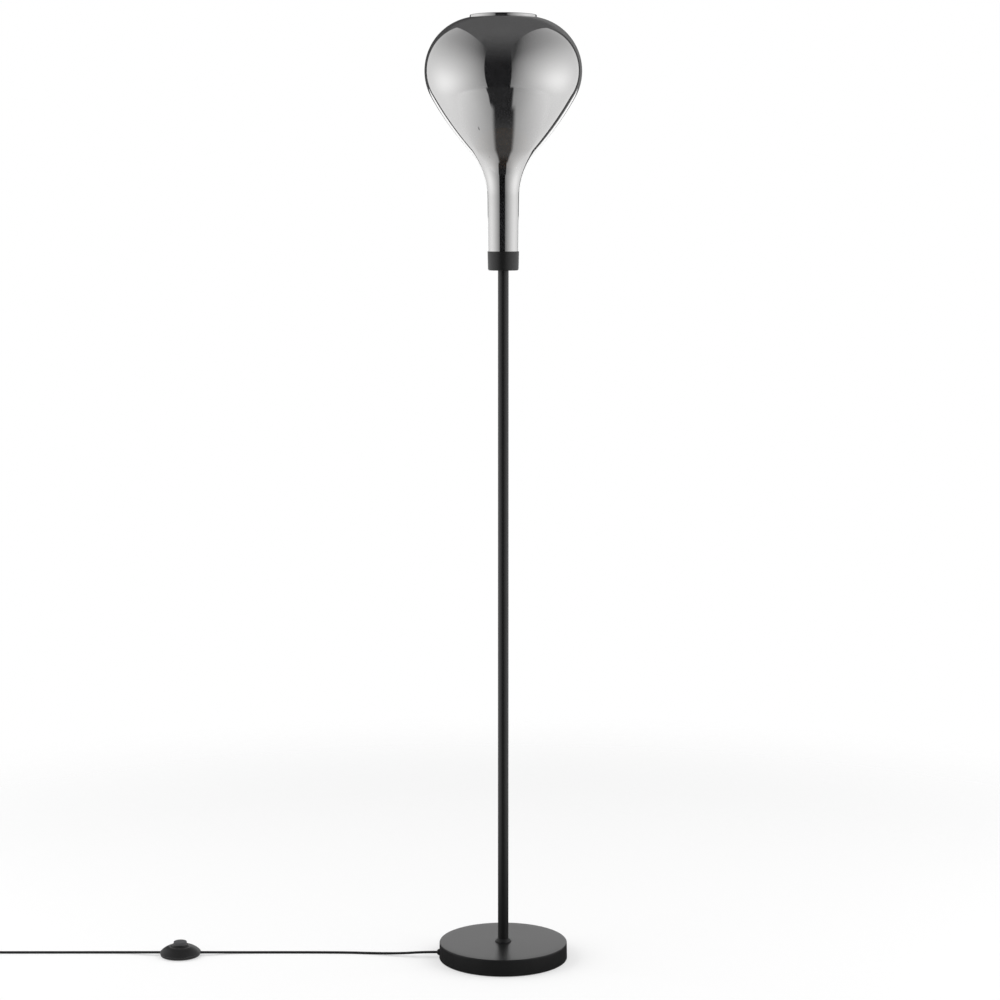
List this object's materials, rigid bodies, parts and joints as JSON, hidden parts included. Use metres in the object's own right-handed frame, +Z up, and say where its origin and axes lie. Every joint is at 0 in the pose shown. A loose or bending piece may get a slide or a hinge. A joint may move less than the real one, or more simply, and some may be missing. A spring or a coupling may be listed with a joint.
{
  "type": "floor lamp",
  "caption": "Floor lamp with a round weighted base, a slim pole and a drop-shaped smoked mirror glass shade, open at the top, with a foot switch on its lead.",
  "frame": {"origin": "centre of the base, on the floor", "axes": "+Z up along the pole; the lead leaves the base towards -X; +Y points away from the viewer"},
  "size_m": [1.0328, 0.2443, 1.4604],
  "materials": {
    "black_metal": "satin powder coat",
    "smoked_glass": "smoked glass with a half-mirror coat, polished",
    "bulb_amber_glass": "clear amber glass, polished",
    "stem_glass": "clear",
    "filament": "yellow phosphor coat",
    "cast_iron": "as cast, painted",
    "zinc_steel": "zinc plated",
    "brass": "plain",
    "copper": "bare copper",
    "nickel": "nickel plated",
    "black_rubber": "matte",
    "lead_black": "satin jacket",
    "black_plastic": "fine grain",
    "button_grey": "fine grain",
    "holder_black": "smooth",
    "core_white": "unglazed ceramic",
    "felt_black": "pressed felt"
  },
  "bodies": {
    "lamp": {"base_cover": "black_metal", "base_weight": "cast_iron", "base_plate": "zinc_steel", "base_plate_screws": "zinc_steel", "base_felt": "felt_black", "base_clamp": "black_plastic", "base_clamp_screws": "zinc_steel", "base_gland": "black_rubber", "base_nut": "zinc_steel", "base_washer": "zinc_steel", "base_nipple": "zinc_steel", "pole_section_1": "black_metal", "pole_section_2": "black_metal", "pole_section_3": "black_metal", "pole_couplers": "zinc_steel", "pole_foot_insert": "zinc_steel", "pole_head_insert": "zinc_steel", "pole_foot_collar": "black_metal", "shade_cup": "black_metal", "riser_tube": "zinc_steel", "riser_nuts": "zinc_steel", "shade_spacer": "zinc_steel", "shade_gasket": "black_rubber", "shade_glass": "smoked_glass", "holder_cap": "holder_black", "holder_skirt": "holder_black", "holder_core": "core_white", "holder_screw_shell": "brass", "holder_contact": "brass", "holder_terminals": "brass", "holder_wires": "copper", "inner_lead": "lead_black", "lead_to_switch": "lead_black", "lead_to_plug": "lead_black", "lead_twist": "lead_black", "lead_coil": "lead_black", "plug_lead": "lead_black", "plug_body": "black_plastic", "plug_pins": "nickel", "plug_sleeves": "black_plastic", "switch_base": "black_plastic", "switch_cover": "black_plastic", "switch_spring": "nickel", "switch_terminals": "brass", "switch_wires": "copper", "switch_clamps": "zinc_steel", "switch_clamp_screws": "zinc_steel", "switch_screws": "zinc_steel", "switch_feet": "black_rubber"},
    "bulb": {"bulb_cap": "nickel", "bulb_insulator": "black_plastic", "bulb_contact": "zinc_steel", "bulb_glass": "bulb_amber_glass", "bulb_stem": "stem_glass", "bulb_filaments": "filament", "bulb_supports": "nickel"},
    "button": {"switch_button": "button_grey"},
    "rotor": {"switch_rotor": "brass"}
  },
  "joints": [
    {"name": "bulb_lift", "type": "slide", "parent": "lamp", "child": "bulb", "axis": [0, 0, 1], "range_m": [0, 0.27]},
    {"name": "button_press", "type": "slide", "parent": "lamp", "child": "button", "axis": [0, 0, -1], "range_m": [0, 0.003], "stiffness_N_per_m": 1500, "springref_m": -0.002, "deforming": ["switch_spring"]},
    {"name": "rotor_turn", "type": "hinge", "parent": "lamp", "child": "rotor", "pos_m": [-0.508, 0.01, 0.0045], "axis": [0, 0, 1], "range_deg": [0, 45]}
  ],
  "couplings": [
    {"joint": "rotor_turn", "follows": "button_press", "rad_per_m": 261}
  ]
}
